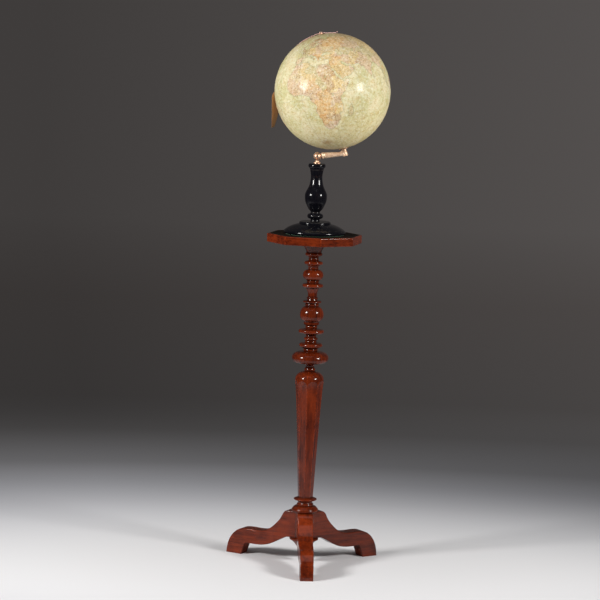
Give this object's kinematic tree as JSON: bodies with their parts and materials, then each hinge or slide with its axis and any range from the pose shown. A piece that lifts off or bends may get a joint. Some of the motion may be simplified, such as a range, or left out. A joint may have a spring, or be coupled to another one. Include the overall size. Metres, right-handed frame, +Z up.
{
  "type": "terrestrial globe on stand",
  "caption": "Twelve-inch terrestrial globe on a brass arm and ebonised turned stand, on a mahogany tripod torchere with an octagonal top.",
  "frame": {"origin": "on the floor, on the axis of the torchere's column, at the mount named floor_point", "axes": "+Z up; the torchere's front leg points along -Y; the globe's axis leans toward -X at its north pole"},
  "size_m": [0.4098, 0.3799, 1.4216],
  "materials": {
    "mahogany": "polished",
    "ebonised_panel": "satin",
    "ebonised_wood": "polished",
    "steel_screw": "aged",
    "steel_rod": "polished",
    "brass": "polished",
    "baize": "matte",
    "cotton_string": "matte",
    "manila_card": "matte",
    "fibre_ring": "matte",
    "map_paper": "varnished",
    "pasteboard": "matte",
    "softwood": "matte"
  },
  "bodies": {
    "torchere": {"hub_block": "mahogany", "hub_pendant": "mahogany", "column_collar": "mahogany", "octagonal_shaft": "mahogany", "column_disc": "mahogany", "column_ring_lower": "mahogany", "column_ring_upper": "mahogany", "column_bulb": "mahogany", "column_baluster": "mahogany", "column_cup": "mahogany", "top_bearer": "mahogany", "top_board": "mahogany", "top_panel": "ebonised_panel", "leg_front": "mahogany", "leg_right": "mahogany", "leg_left": "mahogany", "top_screw_1": "steel_screw", "top_screw_2": "steel_screw", "top_screw_3": "steel_screw", "top_screw_4": "steel_screw"},
    "table_stand": {"stand_pad": "baize", "stand_base": "ebonised_wood", "stand_column": "ebonised_wood", "stand_ferrule": "brass", "knuckle_fork": "brass", "pivot_pin": "brass"},
    "arm": {"arm_casting": "brass", "arm_pin": "brass", "axis_rod": "steel_rod", "pole_dish": "brass", "pole_washer": "brass", "finial_nut": "brass", "string_loop": "cotton_string", "string_main": "cotton_string", "string_tail": "cotton_string", "tail_knot": "cotton_string", "tag_knot": "cotton_string", "tag_loop": "cotton_string", "tag_card": "manila_card", "tag_eyelet": "fibre_ring"},
    "globe": {"shell_north": "pasteboard", "shell_south": "pasteboard", "plug_north": "softwood", "plug_south": "softwood", "bush_north": "brass", "bush_south": "brass", "calotte_north": "map_paper", "calotte_south": "map_paper", "gore_01": "map_paper", "gore_02": "map_paper", "gore_03": "map_paper", "gore_04": "map_paper", "gore_05": "map_paper", "gore_06": "map_paper", "gore_07": "map_paper", "gore_08": "map_paper", "gore_09": "map_paper", "gore_10": "map_paper", "gore_11": "map_paper", "gore_12": "map_paper"}
  },
  "joints": [
    {"name": "stand_lift", "type": "slide", "parent": "torchere", "child": "table_stand", "axis": [0, 0, 1], "range_m": [0, 0.06]},
    {"name": "arm_tilt", "type": "hinge", "parent": "table_stand", "child": "arm", "pos_m": [0, 0, 1.0919], "axis": [0, -1, 0], "range_deg": [-13.5, 10]},
    {"name": "globe_spin", "type": "hinge", "parent": "arm", "child": "globe", "pos_m": [0.03389, 0, 1.26345], "axis": [-0.2334, 0, 0.9724], "continuous": true}
  ]
}
